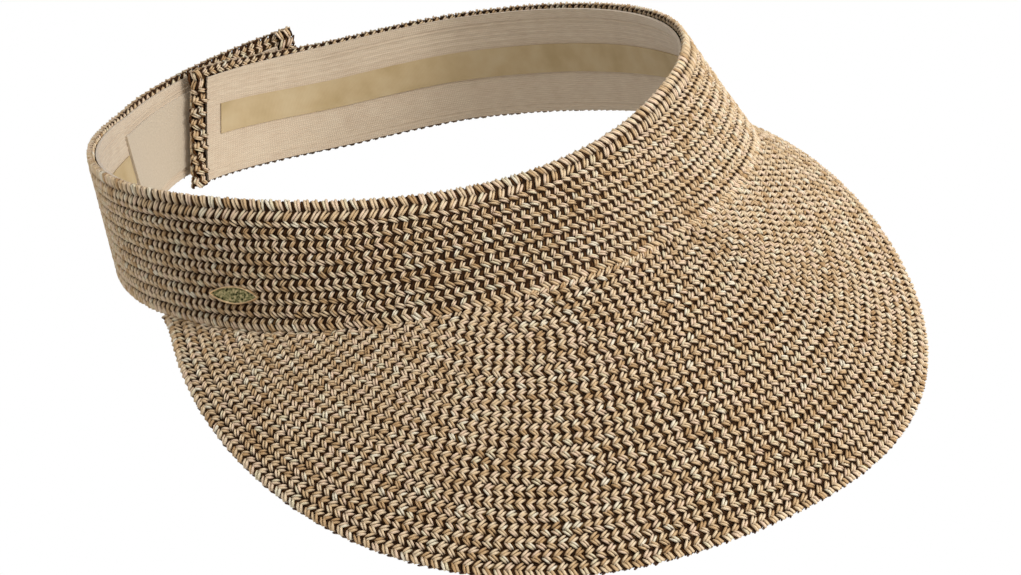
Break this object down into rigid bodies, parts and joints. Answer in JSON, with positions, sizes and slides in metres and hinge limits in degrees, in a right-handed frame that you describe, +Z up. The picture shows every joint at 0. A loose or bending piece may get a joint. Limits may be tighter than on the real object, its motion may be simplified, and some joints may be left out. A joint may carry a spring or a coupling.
{
  "type": "sun visor",
  "caption": "Open-crown sun visor of sewn straw braid with a drooping brim, a lined headband and a hook-and-loop strap closure at the back.",
  "frame": {"origin": "bottom centre of the bounding box, with the visor lying as it rests on a table: on the back of its band and the front edge of its brim", "axes": "+Z up; -Y towards the front of the brim; +X towards the wearer's left. The band's own axis leans back by the resting angle, about 14.5 degrees"},
  "size_m": [0.208, 0.3002, 0.0648],
  "materials": {
    "braid": "matte two-tone straw braid, tan and dark brown",
    "cotton_lining": "woven cotton, matte",
    "ribbon": "woven ribbon, slight sheen",
    "loop_tape": "soft loop pile",
    "hook_tape": "stiff hook tape",
    "badge_metal": "antique brass, brushed with dark recesses"
  },
  "bodies": {
    "root": {"brim": "braid", "headband": "braid", "sweatband": "cotton_lining", "ribbon": "ribbon", "badge": "badge_metal"},
    "right_strap": {"right_strap": "braid", "right_sweatband": "cotton_lining", "right_ribbon": "ribbon"},
    "right_tail": {"right_strap_tail": "braid", "right_end_fold": "braid", "tail_sweatband": "cotton_lining", "loop_tape": "loop_tape"},
    "left_strap": {"left_strap": "braid", "left_end_fold": "braid", "left_sweatband": "cotton_lining", "left_ribbon": "ribbon", "hook_tape": "hook_tape"}
  },
  "joints": [
    {"name": "right_strap_flex", "type": "hinge", "parent": "root", "child": "right_strap", "pos_m": [-0.08164, 0.07784, 0.03167], "axis": [0, 0.2495, 0.9684], "range_deg": [-4, 5], "stiffness_Nm_per_rad": 0.8},
    {"name": "left_strap_flex", "type": "hinge", "parent": "root", "child": "left_strap", "pos_m": [0.0766, 0.0779, 0.03164], "axis": [0, 0.2495, 0.9684], "range_deg": [-5, 4], "stiffness_Nm_per_rad": 0.8},
    {"name": "tail_peel", "type": "hinge", "parent": "right_strap", "child": "right_tail", "pos_m": [-0.061, 0.11699, 0.02259], "axis": [0, 0.2495, 0.9684], "range_deg": [0, 75]}
  ],
  "couplings": [
    {"joint": "left_strap_flex", "follows": "right_strap_flex", "ratio": -1}
  ]
}
